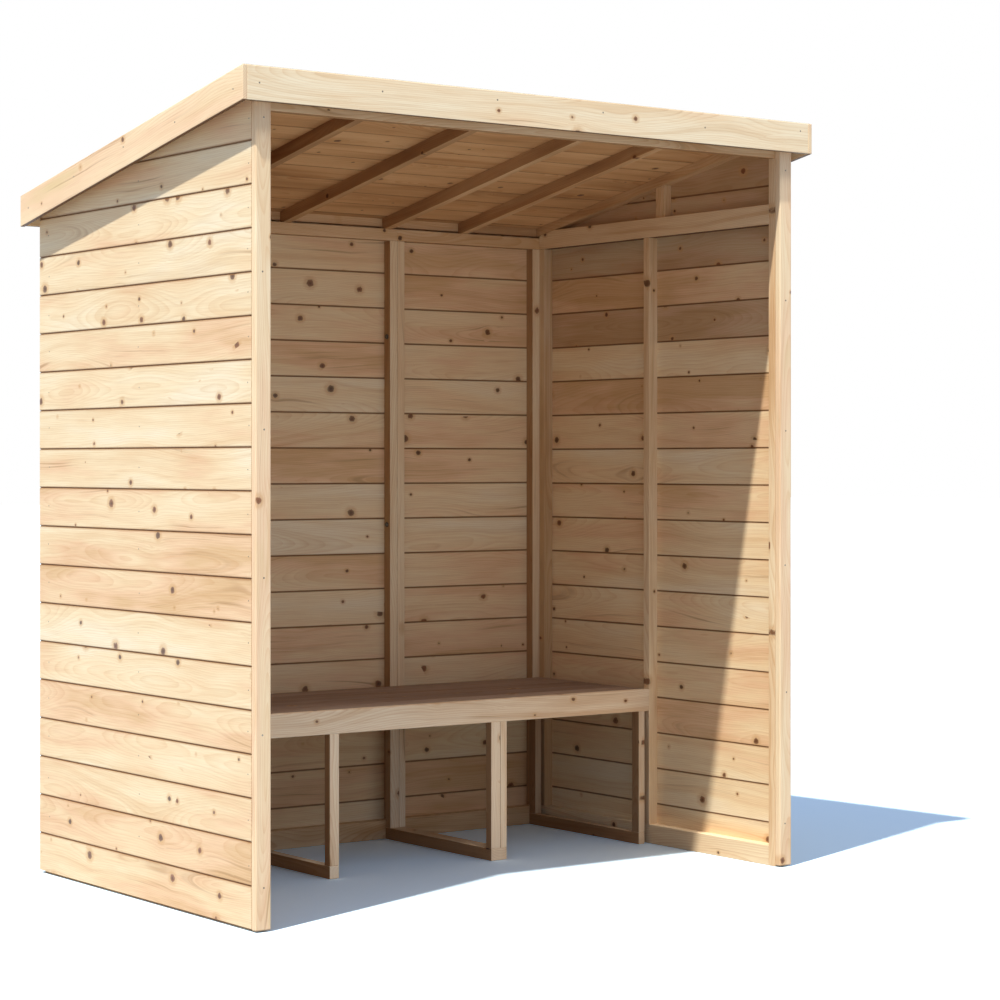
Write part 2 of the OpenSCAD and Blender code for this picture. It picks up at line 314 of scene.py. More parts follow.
def board_mesh(length, thickness):
    """One matched board: x along it, y from the weather face inwards, z across it, upwards.
    Each corner of its outline is (y, z, how dark the joint is there), a darkness of grime
    and painted shade in the seam."""
    outer, inner = thickness * 0.35, thickness * 0.67
    high, seam_high, groove = BOARD_PITCH - GAP / 2, BOARD_PITCH - SEAM / 2, TONGUE + GAP
    outline = [
        (0.0, CHAMFER, EDGE), (0.0, CHAMFER + JOINT_GRIME_AND_SHADE, 0.0),
        (0.0, BOARD_PITCH - CHAMFER - JOINT_GRIME_AND_SHADE, 0.0), (0.0, BOARD_PITCH - CHAMFER, EDGE),
        (CHAMFER - GAP / 2, high, 1.0), (outer, high, 1.0),
        (outer, BOARD_PITCH + TONGUE, 1.0), (inner, BOARD_PITCH + TONGUE, 1.0),
        (inner, seam_high, 1.0), (thickness - SEAM_ARRIS, seam_high, SEAM_MOUTH),
        (thickness, seam_high - SEAM_ARRIS, SEAM_EDGE),
        (thickness, seam_high - SEAM_ARRIS - SEAM_GRIME_AND_SHADE, 0.0),
        (thickness, SEAM / 2 + SEAM_ARRIS + SEAM_GRIME_AND_SHADE, 0.0),
        (thickness, SEAM / 2 + SEAM_ARRIS, SEAM_EDGE),
        (thickness - SEAM_ARRIS, SEAM / 2, SEAM_MOUTH), (inner + GROOVE_PLAY, SEAM / 2, 1.0),
        (inner + GROOVE_PLAY, groove, 1.0), (outer - GROOVE_PLAY, groove, 1.0),
        (outer - GROOVE_PLAY, GAP / 2, 1.0), (CHAMFER - GAP / 2, GAP / 2, 1.0),
    ]
    bm = bmesh.new()
    joint = bm.verts.layers.float.new("joint")
    room_side = bm.verts.layers.float.new("room_side")
    corners = []
    for y, z, joint_grime_and_shade in outline:
        corner = bm.verts.new((0.0, y, z))
        corner[joint], corner[room_side] = joint_grime_and_shade, y / thickness
        corners.append(corner)
    moved = bmesh.ops.extrude_face_region(bm, geom=[bm.faces.new(corners)])["geom"]
    far_end = [v for v in moved if isinstance(v, bmesh.types.BMVert)]
    bmesh.ops.translate(bm, vec=(length, 0, 0), verts=far_end)
    bmesh.ops.recalc_face_normals(bm, faces=bm.faces)
    mesh = bpy.data.meshes.new("board")
    bm.to_mesh(mesh)
    bm.free()
    return mesh


def new_tree(name, sockets):
    """A Geometry Nodes tree with named inputs, and a wire on its group input."""
    tree = bpy.data.node_groups.new(name, "GeometryNodeTree")
    tree.interface.new_socket("Geometry", in_out="OUTPUT", socket_type="NodeSocketGeometry")
    tree.interface.new_socket("Geometry", in_out="INPUT", socket_type="NodeSocketGeometry")
    for socket, kind in sockets.items():
        tree.interface.new_socket(socket, in_out="INPUT", socket_type="NodeSocket" + kind)
    return tree, Wire(tree).node("NodeGroupInput")


def finish_tree(geometry, finish):
    """Ends a tree: the instances become one mesh of one finish."""
    whole = geometry.node("GeometryNodeRealizeInstances", {}, {"Geometry": geometry})
    coated = geometry.node("GeometryNodeSetMaterial", {}, {"Geometry": whole, "Material": finish})
    geometry.node("NodeGroupOutput", {}, {0: coated})


def grown(mesh, tree, values):
    """Runs a Geometry Nodes tree over a mesh with these inputs, and gives the plain mesh."""
    carrier = bpy.data.objects.new("carrier", mesh)
    bpy.context.scene.collection.objects.link(carrier)
    modifier = carrier.modifiers.new("grow", "NODES")
    modifier.node_group = tree
    for item in tree.interface.items_tree:
        if item.in_out == "INPUT" and item.name in values:
            modifier[item.identifier] = values[item.name]
    bpy.context.view_layer.update()
    result = bpy.data.meshes.new_from_object(
        carrier.evaluated_get(bpy.context.evaluated_depsgraph_get())
    )
    bpy.data.objects.remove(carrier)
    return result


def stored(geometry, kind, domain, name, value):
    """Stores a named attribute on a geometry."""
    return geometry.node("GeometryNodeStoreNamedAttribute", {"data_type": kind, "domain": domain},
                         {"Geometry": geometry, "Name": name, "Value": value})


def boarding_tree(finish):
    """Repeats one board up a wall and marks each copy's place in its tree and tone at random.
    Lean adds painted shade, darkening the boards near the top."""
    tree, given = new_tree(
        "boarding", {"Boards": "Int", "Pitch": "Float", "Seed": "Int", "Top Shade": "Float"})
    rows = given.node("GeometryNodeMeshLine", {"mode": "OFFSET"},
                      {"Count": given["Boards"], "Offset": given.place(0.0, 0.0, given["Pitch"])})
    boards = given.node("GeometryNodeInstanceOnPoints", {},
                        {"Points": rows, "Instance": given["Geometry"]})
    index = given.node("GeometryNodeInputIndex")
    pith = given.node("ShaderNodeSeparateXYZ", {}, {0: given.node(
        "FunctionNodeRandomValue", {"data_type": "FLOAT_VECTOR"},
        {"Min": (0.0, -0.15, 0.02), "Max": (40.0, 0.05, 0.08), "ID": index,
         "Seed": given["Seed"]})})
    slip = given.place(pith["X"], pith["Y"] - index * given["Pitch"], pith["Z"])
    tone = given.node("FunctionNodeRandomValue", {"data_type": "FLOAT"},
                      {"Min": 0.0, "Max": 1.0, "ID": index, "Seed": given["Seed"] + 7.0})
    slipped = stored(boards, "FLOAT_VECTOR", "INSTANCE", "grain", slip)
    # painted shade: boards near the top get a higher tone, which the finish darkens
    top_shaded_tone = tone + (index / given["Boards"]) ** 3.0 * given["Top Shade"]
    toned = stored(slipped, "FLOAT", "INSTANCE", "tone", top_shaded_tone)
    solid = given.node("GeometryNodeRealizeInstances", {}, {"Geometry": toned})
    spot = given.node("ShaderNodeSeparateXYZ", {}, {0: given.node("GeometryNodeInputPosition")})
    kept = given.node(
        "GeometryNodeInputNamedAttribute", {"data_type": "FLOAT_VECTOR"}, {"Name": "grain"})
    grain = given.vector("ADD", given.place(spot["X"], spot["Z"], spot["Y"]), kept)
    finish_tree(stored(solid, "FLOAT_VECTOR", "POINT", "grain", grain), finish)
    return tree


def saw(bm, *cuts):
    """Saws a mesh along planes, each (point, outward normal), and closes the sawn faces."""
    for point, outward in cuts:
        result = bmesh.ops.bisect_plane(
            bm, geom=bm.verts[:] + bm.edges[:] + bm.faces[:], dist=1e-6,
            plane_co=point, plane_no=outward, clear_outer=True,
        )
        edges = [e for e in result["geom_cut"] if isinstance(e, bmesh.types.BMEdge)]
        bmesh.ops.holes_fill(bm, edges=[e for e in edges if e.is_boundary])


def mark_ends(bm, along):
    """Marks the faces that cut across the grain."""
    ends = bm.faces.layers.float.new("sawn_end")
    for face in bm.faces:
        face[ends] = float(abs(face.normal.dot(along)) > 0.6)


def boarded_wall(node, corner, turn, length, top, seed, top_shade=0.0):
    """Boards one wall panel up to a cutting plane. corner is the weather side of its first end."""
    start = LOWEST_JOINT[node.split("_")[0]] - BOARD_PITCH
    count = math.ceil((top[0].z - start) / BOARD_PITCH)
    mesh = grown(board_mesh(length, board_thickness), boarding,
                 {"Boards": count, "Pitch": BOARD_PITCH, "Seed": seed, "Top Shade": top_shade})
    bm = bmesh.new()
    bm.from_mesh(mesh)
    bm.transform(Matrix.Translation((0, 0, start)))
    saw(bm, (Vector((0, 0, start + TONGUE + 2 * GAP)), Vector((0, 0, -1))))
    foot = min(v.co.z for v in bm.verts)
    for v in bm.verts:
        if v.co.z < foot + 1e-5:
            v.co.z = FOOT
    bm.transform(Matrix.Translation(corner) @ Matrix.Rotation(math.radians(turn), 4, "Z"))
    saw(bm, top)
    mark_ends(bm, Matrix.Rotation(math.radians(turn), 3, "Z") @ Vector((1, 0, 0)))
    bm.to_mesh(mesh)
    bm.free()
    name = node.replace("cladding", "wall_boards")
    return new_piece(name, mesh, wall_finish, [node])


wall_finish = timber_finish(
    "raw_spruce_boards",
    [(0.0, (253, 243, 217)), (0.30, (252, 236, 202)), (0.55, (249, 227, 190)),
     (0.78, (245, 213, 177)), (1.0, (231, 198, 155))],
    room=(255, 249, 242), knots=0.55,
)
boarding = boarding_tree(wall_finish)
left_low, left_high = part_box("left_cladding")
_, right_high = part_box("right_cladding")
board_thickness = left_high.x - left_low.x
front_y, back_y = left_low.y, left_high.y
side_length = back_y - front_y
roof_cut = (Vector((0, front_y, left_high.z)), Vector((0, FALL, 1)))
boarded_wall("left_cladding", (left_low.x, back_y, 0), -90, side_length, roof_cut, 3)
# the right wall's upper boards get painted shade
boarded_wall("right_cladding", (right_high.x, front_y, 0), 90, side_length, roof_cut, 11, top_shade=1.9)
for side, seed in (("left", 19), ("middle", 29), ("right", 31)):
    low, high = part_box(f"back_{side}_cladding")
    level_cut = (Vector((0, 0, high.z)), Vector((0, 0, 1)))
    boarded_wall(f"back_{side}_cladding", (high.x - GAP / 4, back_y, 0), 180,
                 high.x - low.x - GAP / 2, level_cut, seed)


# --- Panel frames ----------------------------------------------------------------------------
# Planed softwood studs and rails with eased arrises, nailed together into panels: two side
# panels, and three back panels whose end studs stand in pairs. The walls are bolted up of these.

ACROSS = Vector((1, 0, 0))
UPRIGHT = Vector((0, 0, 1))

frame_finish = timber_finish(
    "planed_softwood",
    [(0.0, (252, 234, 200)), (0.5, (244, 218, 180)), (1.0, (224, 188, 142))],
    figure=0.5, knots=0.35,
)


def islands(bm):
    """The separate solids of a mesh, each as a list of its vertices."""
    left = set(bm.verts)
    while left:
        first = min(left, key=lambda v: v.index)
        group, queue = {first}, [first]
        while queue:
            for edge in queue.pop().link_edges:
                for v in edge.verts:
                    if v not in group:
                        group.add(v)
                        queue.append(v)
        left -= group
        yield sorted(group, key=lambda v: v.index)


def mark_grain(bm, name, slope=0.0, sides=None, painted_light_and_shade_of=None, tree=""):
    """Marks where each solid's grain runs: along its longest side, tilted by slope. The sides
    with painted shade are those that face either way along sides, or only the undersides if it
    is upright."""
    grain = bm.verts.layers.float_vector.new("grain")
    tone = bm.verts.layers.float.new("tone")
    ends = bm.faces.layers.float.new("sawn_end")
    rough = bm.faces.layers.float.new("sawn_side")
    draw = random.Random(name + tree)
    level = Matrix.Rotation(slope, 3, "X")
    bm.verts.index_update()
    for group in islands(bm):
        spots = [level @ v.co for v in group]
        low = [min(s[i] for s in spots) for i in range(3)]
        sizes = [max(s[i] for s in spots) - low[i] for i in range(3)]
        order = sorted(range(3), key=lambda i: -sizes[i])
        pith = Vector((draw.uniform(0, 40), draw.uniform(-0.12, 0.05), draw.uniform(0.015, 0.07)))
        shade = painted_light_and_shade_of(low[0]) if painted_light_and_shade_of else draw.random()
        for v, spot in zip(group, spots):
            v[grain] = Vector([spot[i] - low[i] for i in order]) + pith
            v[tone] = shade
        along = level.inverted() @ Vector([float(i == order[0]) for i in range(3)])
        for face in {f for v in group for f in v.link_faces}:
            face[ends] = float(abs(face.normal.dot(along)) > 0.8)
            # painted shade on the faces that sides picks out, stronger as sides is longer
            if sides:
                facing = -face.normal.z if sides.z else abs(face.normal.dot(sides)) / sides.length
                face[rough] = sides.length if facing > 0.8 else 0.0


def planed(node, finish, slope=0.0, arris=0.0015, cuts=(), shakes=(), sides=None,
           painted_light_and_shade_of=None, tree=""):
    """Copies a CAD timber, eases its arrises and marks its grain. The copy stands for the node.
    cuts saw it shorter, shakes part it where two timbers stand side by side, and sides is the
    way its sides with painted shade face, longer where that shade is darker.
    painted_light_and_shade_of gives a timber's tone from its lowest x, a painted light or shade,
    and tree names another tree, with other knots."""
    bm = bmesh.new()
    bm.from_mesh(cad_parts[node].data)
    bmesh.ops.remove_doubles(bm, verts=bm.verts, dist=1e-6)
    bmesh.ops.dissolve_limit(bm, angle_limit=0.01, verts=bm.verts, edges=bm.edges)
    saw(bm, *cuts)
    for x in shakes:
        other = bm.copy()
        saw(bm, (Vector((x - GAP / 4, 0, 0)), ACROSS))
        saw(other, (Vector((x + GAP / 4, 0, 0)), -ACROSS))
        beyond = bpy.data.meshes.new("beyond")
        other.to_mesh(beyond)
        other.free()
        bm.from_mesh(beyond)
    bmesh.ops.bevel(bm, geom=bm.edges[:], offset=arris, segments=2, profile=0.5, affect="EDGES")
    mark_grain(bm, node, slope, sides, painted_light_and_shade_of, tree)
    mesh = bpy.data.meshes.new(node + "_timber")
    bm.to_mesh(mesh)
    bm.free()
    return new_piece(node + "_timber", mesh, finish, [node])


for side in ("left", "right"):
    for part in ("front_stud", "mid_stud", "bottom_rail", "gable_stud"):
        planed(f"{side}_{part}", frame_finish)
    # painted shade: the back studs by the corners get a darker tone
    planed(f"{side}_back_stud", frame_finish, painted_light_and_shade_of=lambda x: 1.3)
    # painted shade: the eaves rails' undersides are darker, and the rails get a darker tone
    planed(f"{side}_eaves_rail", frame_finish, sides=2.0 * UPRIGHT,
           painted_light_and_shade_of=lambda x: 0.75)
for panel in ("left", "middle", "right"):
    # painted shade on the back studs' sides, and on the back rails' undersides and tone
    planed(f"back_{panel}_studs", frame_finish, sides=ACROSS)
    planed(f"back_{panel}_rails", frame_finish, sides=UPRIGHT,
           painted_light_and_shade_of=lambda x: 0.95)


# --- Front strips and header -----------------------------------------------------------------
# A planed cover strip hides the board ends on the front of each side wall, and a header between
# the front studs carries the rafters over the open front.

trim_finish = timber_finish(
    "planed_trim",
    [(0.0, (255, 243, 214)), (0.4, (253, 233, 198)),
     (0.75, (250, 221, 187)), (1.0, (238, 216, 172))],
    figure=0.35, knots=0.3,
)
for side in ("left", "right"):
    planed(f"{side}_front_strip", trim_finish, arris=0.0035,
           cuts=[(Vector((0, 0, FOOT / 2)), -UPRIGHT)])
# painted shade on the header's underside
planed("front_header", frame_finish, sides=UPRIGHT)


# --- Roof frame and roof boards --------------------------------------------------------------
# Square rafters fall from a front rail to a back rail, notched over the header and the back
# panels, with a batten along each side overhang. The roof boards lie across them, seams down.

SLOPE = math.atan(FALL)
RAIL_GAP = 0.007
DECK_START = 0.03

rafter_finish = timber_finish(
    "sawn_rafters",
    [(0.0, (236, 202, 158)), (0.5, (206, 168, 124)), (1.0, (158, 116, 78))],
    figure=0.5, knots=0.4, roughness=0.75,
)
for node in ("front_roof_rail", "left_edge_batten", "right_edge_batten",
             "left_end_rafter", "right_end_rafter"):
    planed(node, rafter_finish, slope=SLOPE)
# painted shade: the rafters' sides are darker, and their tone darkens from right to left
planed("rafters", rafter_finish, slope=SLOPE, sides=0.6 * ACROSS,
       painted_light_and_shade_of=lambda x: 0.55 - 0.85 * x)
rail_low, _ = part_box("back_roof_rail")
# painted light: the back roof rail gets the palest tone
planed("back_roof_rail", rafter_finish,
       cuts=[(rail_low + RAIL_GAP * UPRIGHT, -UPRIGHT)], painted_light_and_shade_of=lambda x: 0.0)

roof_finish = timber_finish(
    "roof_spruce",
    [(0.0, (238, 198, 148)), (0.35, (224, 180, 130)),
     (0.7, (208, 163, 114)), (1.0, (178, 134, 88))],
    figure=0.6, knots=0.55, roughness=0.7,
)
deck_low, deck_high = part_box("roof_boards")
deck_thickness = (deck_high.z - deck_low.z - FALL * (deck_high.y - deck_low.y)) * math.cos(SLOPE)
down = Vector((0, math.cos(SLOPE), -math.sin(SLOPE)))
inwards = Vector((0, -math.sin(SLOPE), -math.cos(SLOPE)))
run = (deck_high.y - deck_low.y) / math.cos(SLOPE)
mesh = grown(board_mesh(deck_high.x - deck_low.x, deck_thickness), boarding_tree(roof_finish),
             {"Boards": math.ceil(run / BOARD_PITCH) + 1, "Pitch": BOARD_PITCH, "Seed": 41})
bm = bmesh.new()
bm.from_mesh(mesh)
turn = Matrix((ACROSS, inwards, down)).transposed().to_4x4()
first = Vector((deck_low.x, deck_low.y, deck_high.z)) - down * DECK_START
bm.transform(Matrix.Translation(first) @ turn)
saw(bm, (Vector((0, deck_low.y, 0)), Vector((0, -1, 0))),
    (Vector((0, deck_high.y, 0)), Vector((0, 1, 0))))
mark_ends(bm, ACROSS)
bm.to_mesh(mesh)
bm.free()
new_piece("roof_board_deck", mesh, roof_finish, ["roof_boards"])


# --- Fascias ---------------------------------------------------------------------------------
# Planed boards nailed round the edge of the roof, the side ones running past the ends of the
# front and back ones. Their tops follow the fall, and the felt is dressed over them.

FELT_DROP = 0.0026
FELT_RIM = 0.0015
HEAD = 0.0004

front_fascia_low, front_fascia_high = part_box("front_fascia")
rim_z = front_fascia_high.z - FELT_DROP - FELT_RIM
rim_cut = (Vector((0, front_fascia_low.y, rim_z)), Vector((0, FALL, 1)))
for side, slope, way in (("front", 0.0, (0, -1, 0)), ("back", 0.0, (0, 1, 0)),
                         ("left", SLOPE, (-1, 0, 0)), ("right", SLOPE, (1, 0, 0))):
    low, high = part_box(f"{side}_fascia")
    face = low if sum(way) < 0 else high
    # painted shade on the fascias' undersides
    planed(f"{side}_fascia", trim_finish, slope=slope, arris=0.002,
           cuts=[rim_cut, (face - Vector(way) * HEAD, Vector(way))], sides=2.0 * UPRIGHT, tree="b")


# --- Bench -----------------------------------------------------------------------------------
# Seat boards on bearers between a front and a back rail, carried by legs that stand on runners.
# The middle leg is two timbers side by side. The seat boards are darker, a painted shade,
# and the last leg and the sides of the legs, runners and bearers carry painted shade.

MIDDLE_LEG_SEAM = 0.296
LAST_LEG = 0.8

bench_finish = timber_finish(
    "bench_softwood",
    [(0.0, (255, 242, 218)), (0.5, (249, 228, 198)), (1.0, (230, 200, 164))],
    figure=0.5, knots=0.7,
)
# painted shade: the seat boards are darker than the rest of the bench
seat_shaded_finish = timber_finish(
    "seat_boards",
    [(0.0, (188, 166, 150)), (0.5, (172, 149, 133)), (1.0, (150, 127, 112))],
    figure=0.5, knots=0.4, roughness=0.7,
)
for node in ("bench_front_rail", "bench_back_rail"):
    planed(node, bench_finish, tree="b")
for node in ("bench_runners", "bench_bearers"):
    # painted shade on the runners' and bearers' sides
    planed(node, bench_finish, sides=ACROSS)
planed("bench_seat", seat_shaded_finish, arris=0.002)
# painted shade on the legs' sides, and the last leg gets a darker tone
planed("bench_legs", bench_finish, shakes=[MIDDLE_LEG_SEAM], sides=ACROSS,
       painted_light_and_shade_of=lambda x: 1.3 if x > LAST_LEG else 0.4)


# --- Roofing felt ----------------------------------------------------------------------------
# Mineral-surfaced bitumen felt, pale grey green, laid in two courses with the upper one lapped
# over the lower and nailed down. A rim strip is dressed over the tops of the fascias, a little
# back from their faces.

FELT = 0.0015
FELT_MESH = 0.03
DENT = 0.0003
LAP = (0.060, 0.135)
LAP_RISE = 0.03
RIM_GAP = 0.0002
SETBACK = 0.004
CLOUT_INSET = 0.0048


def felt_finish():
    """Grey green mineral grit on felt, in slightly uneven shade."""
    finish, start, out = new_finish("mineral_felt")
    spot = start.node("ShaderNodeTexCoord")["Object"]
    grit = start.vector("SCALE", spot)
    grit.socket.node.inputs["Scale"].default_value = 1100.0
    grains = grit.noise()
    rows = start.vector("MULTIPLY", spot, (3.0, 9.0, 3.0)).noise(3.0, 0.55)
    colour = grains.step(0.38, 0.66).mixed(linear(118, 124, 118), linear(176, 180, 170))
    shaded = (rows.step(0.42, 0.66) * 0.5).mixed(colour, linear(138, 144, 136))
    bump = start.node(
        "ShaderNodeBump", {}, {"Strength": 0.8, "Distance": 0.0008, "Height": grains})
    shader = start.node("ShaderNodeBsdfPrincipled", {},
                        {"Base Color": shaded, "Roughness": 0.92, "Normal": bump})
    finish.node_tree.links.new(shader.socket, out.inputs["Surface"])
    return finish


def felt_top(y):
    """The height of the felt's top at a y, where nothing lifts it."""
    return front_fascia_high.z - RIM_GAP - FALL * (y - front_fascia_low.y)


def felt_course(bm, low, high, thickness, lift):
    """One course of felt between two (x, y) corners. lift says how much it stands up at a y."""
    draw = random.Random(5)
    across = max(1, round((high[0] - low[0]) / FELT_MESH))
    along = max(1, round((high[1] - low[1]) / FELT_MESH))
    rows = []
    for j in range(along + 1):
        y = low[1] + (high[1] - low[1]) * j / along
        row = []
        for i in range(across + 1):
            x = low[0] + (high[0] - low[0]) * i / across
            edge = i in (0, across) or j in (0, along)
            top = felt_top(y) + lift(y)
            dent = 0.0 if edge else draw.uniform(0.0, DENT)
            row.append((bm.verts.new((x, y, top - dent)), bm.verts.new((x, y, top - thickness))))
        rows.append(row)
    for j in range(along):
        for i in range(across):
            a, b, c, d = rows[j][i], rows[j][i + 1], rows[j + 1][i + 1], rows[j + 1][i]
            bm.faces.new((a[0], b[0], c[0], d[0]))
            bm.faces.new((d[1], c[1], b[1], a[1]))
    border = [rows[0][i] for i in range(across)] + [rows[j][-1] for j in range(along)]
    border += [rows[-1][across - i] for i in range(across)]
    border += [rows[along - j][0] for j in range(along)]
    for a, b in zip(border, border[1:] + border[:1]):
        bm.faces.new((a[1], b[1], b[0], a[0]))


left_fascia_low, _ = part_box("left_fascia")
_, right_fascia_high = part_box("right_fascia")
edge_x, edge_y = right_fascia_high.x - SETBACK, -front_fascia_low.y - SETBACK
low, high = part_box("roof_felt")
bm = bmesh.new()
felt_course(bm, (low.x, LAP[0]), (high.x, high.y), FELT - RIM_GAP, lambda y: 0.0)
felt_course(bm, (low.x, low.y), (high.x, LAP[1]), FELT - RIM_GAP,
            lambda y: FELT * min(1.0, max(0.0, (y - LAP[0] + LAP_RISE) / LAP_RISE)))
for rim_low, rim_high in (((-edge_x, -edge_y), (edge_x, low.y)),
                          ((-edge_x, high.y), (edge_x, edge_y)),
                          ((-edge_x, low.y), (low.x, high.y)),
                          ((high.x, low.y), (edge_x, high.y))):
    felt_course(bm, rim_low, rim_high, FELT_RIM - 2 * RIM_GAP, lambda y: -FELT_DROP)
mesh = bpy.data.meshes.new("felt")
bm.to_mesh(mesh)
bm.free()
new_piece("felt_covering", mesh, felt_finish(), ["roof_felt"])


# --- Nails and bolts -------------------------------------------------------------------------
# Galvanised fixings: a brad through each board into each stud, oval nails in the fascias and
# strips, broad clouts round the felt, and nutted bolts through the pairs of studs.


def steel_finish(name, bright, dull):
    """Zinc-coated steel that dulls in patches."""
    finish, start, out = new_finish(name)
    spot = start.node("ShaderNodeTexCoord")["Object"]
    bloom = start.vector("MULTIPLY", spot, (260.0, 260.0, 260.0)).noise(3.0, 0.6)
    zinc = bloom.step(0.35, 0.65).mixed(linear(*bright), linear(*dull))
    shader = start.node(
        "ShaderNodeBsdfPrincipled",
        {},
        {"Base Color": zinc, "Metallic": 0.85, "Roughness": bloom * 0.3 + 0.35},
    )
    finish.node_tree.links.new(shader.socket, out.inputs["Surface"])
    return finish


def turned(profile, sides, way):
    """A closed head of (radius, height) rings, turned about an axis that points along way."""
    bm = bmesh.new()
    rings = []
    for radius, height in profile:
        if radius:
            turns = [2 * math.pi * k / sides for k in range(sides)]
            rings.append([bm.verts.new((radius * math.cos(t), radius * math.sin(t), height))
                          for t in turns])
        else:
            rings.append([bm.verts.new((0, 0, height))] * sides)
    for lower, upper in zip(rings, rings[1:]):
        for k in range(sides):
            a, b, c, d = lower[k], lower[(k + 1) % sides], upper[(k + 1) % sides], upper[k]
            bm.faces.new(dict.fromkeys((a, b, c, d)))
    tilt = UPRIGHT.rotation_difference(Vector(way)).to_matrix()
    bmesh.ops.rotate(bm, verts=bm.verts, matrix=tilt)
    mesh = bpy.data.meshes.new("head")
    bm.to_mesh(mesh)
    bm.free()
    return mesh


def fixings_tree(finish):
    """Sets a head at each crossing of a lattice of rows and columns, a little off its mark."""
    tree, given = new_tree("fixings", {
        "Corner": "Vector", "Columns": "Int", "Column Step": "Vector", "Rows": "Int",
        "Row Step": "Vector", "Slack": "Vector", "Seed": "Int"})
    columns = given.node("GeometryNodeMeshLine", {"mode": "OFFSET"}, {
        "Count": given["Columns"], "Start Location": given["Corner"],
        "Offset": given["Column Step"]})
    rows = given.node("GeometryNodeMeshLine", {"mode": "OFFSET"},
                      {"Count": given["Rows"], "Offset": given["Row Step"]})
    crossings = given.node("GeometryNodeInstanceOnPoints", {},
                           {"Points": columns, "Instance": rows})
    lattice = given.node("GeometryNodeRealizeInstances", {}, {"Geometry": crossings})
    shake = given.node("FunctionNodeRandomValue", {"data_type": "FLOAT_VECTOR"}, {
        "Min": (-1.0, -1.0, -1.0), "Max": (1.0, 1.0, 1.0), "Seed": given["Seed"]})
    moved = given.node("GeometryNodeSetPosition", {}, {
        "Geometry": lattice, "Offset": given.vector("MULTIPLY", shake, given["Slack"])})
    heads = given.node("GeometryNodeInstanceOnPoints", {},
                       {"Points": moved, "Instance": given["Geometry"]})
    finish_tree(heads, finish)
    return tree


def fixings(name, profile, sides, tree, finish, grids):
    """One piece of like fixings. Each grid is a way, a corner, a slack and (count, step) pairs."""
    bm = bmesh.new()
    for number, (way, corner, slack, columns, rows) in enumerate(grids):
        bm.from_mesh(grown(turned(profile, sides, way), tree, {
            "Corner": corner, "Columns": columns[0], "Column Step": columns[1], "Rows": rows[0],
            "Row Step": rows[1], "Slack": slack, "Seed": number}))
    mesh = bpy.data.meshes.new(name)
    bm.to_mesh(mesh)
    bm.free()
    return new_piece(name, mesh, finish)


STUD_WIDTH = 0.028
SIDE_STUD_MIDDLES = (-0.5675, 0.0155, 0.5585)
TOP_MARGIN = 0.02
ONE = (1, (0.0, 0.0, 0.0))

nail_steel = steel_finish("weathered_nails", (150, 142, 130), (104, 92, 78))
nails = fixings_tree(nail_steel)
first_row = LOWEST_JOINT["left"] + BOARD_PITCH / 2
board_step = (0.0, 0.0, BOARD_PITCH)
board_grids = []
for face, way in ((left_low.x, -1), (right_high.x, 1)):
    for y in SIDE_STUD_MIDDLES:
        top = left_high.z - FALL * (y - front_y) - TOP_MARGIN
        count = int((top - first_row) / BOARD_PITCH) + 1
        board_grids.append(((way, 0, 0), (face, y, first_row), (0, 0.004, 0.006), ONE,
                            (count, board_step)))
for panel in ("left", "middle", "right"):
    low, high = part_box(f"back_{panel}_studs")
    count = int((high.z - first_row) / BOARD_PITCH) + 1
    board_grids.append(((0, 1, 0), (low.x + STUD_WIDTH / 2, back_y, first_row), (0.004, 0, 0.006),
                        (2, (high.x - low.x - STUD_WIDTH, 0.0, 0.0)), (count, board_step)))
brad = [(0.0, -0.0006), (0.0018, -0.0006), (0.0018, 0.0001), (0.0012, 0.0003), (0.0, 0.0003)]
fixings("board_brads", brad, 10, nails, nail_steel, board_grids)

FASCIA_END, FASCIA_STEP = 0.93, 0.372
SIDE_END, SIDE_STEP = 0.58, 0.29
STRIP_MIDDLE, STRIP_FOOT, STRIP_STEP = 0.9, 0.12, 0.39

fascia_mid = (front_fascia_high.z + front_fascia_low.z) / 2
back_low, back_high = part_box("back_fascia")
back_mid = (back_low.z + back_high.z) / 2
strip_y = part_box("left_front_strip")[0].y
end_slack, side_slack, strip_slack = (0.006, 0, 0.012), (0, 0.006, 0.01), (0.003, 0, 0.01)
end_row = (6, (FASCIA_STEP, 0.0, 0.0))
side_row = (5, (0.0, SIDE_STEP, -SIDE_STEP * FALL))
fixings("fascia_nails", [(r * 1.35, h) for r, h in brad], 10, nails, nail_steel, [
    ((0, -1, 0), (-FASCIA_END, front_fascia_low.y + HEAD, fascia_mid + 0.01), end_slack,
     end_row, ONE),
    ((0, 1, 0), (-FASCIA_END, back_high.y - HEAD, back_mid), end_slack, end_row, ONE),
    ((-1, 0, 0), (left_fascia_low.x + HEAD, -SIDE_END, fascia_mid - 0.01), side_slack,
     side_row, ONE),
    ((1, 0, 0), (right_fascia_high.x - HEAD, -SIDE_END, fascia_mid - 0.01), side_slack,
     side_row, ONE),
    ((0, -1, 0), (-STRIP_MIDDLE, strip_y, STRIP_FOOT), strip_slack,
     (2, (2 * STRIP_MIDDLE, 0.0, 0.0)), (6, (0.0, 0.0, STRIP_STEP))),
])

END_CLOUTS_FROM, LAP_CLOUTS_FROM, SIDE_CLOUTS_FROM = -0.965, -0.960, -0.56
LAP_CLOUT_INSET = 0.020
SIDE_CLOUT_STEP = 0.1

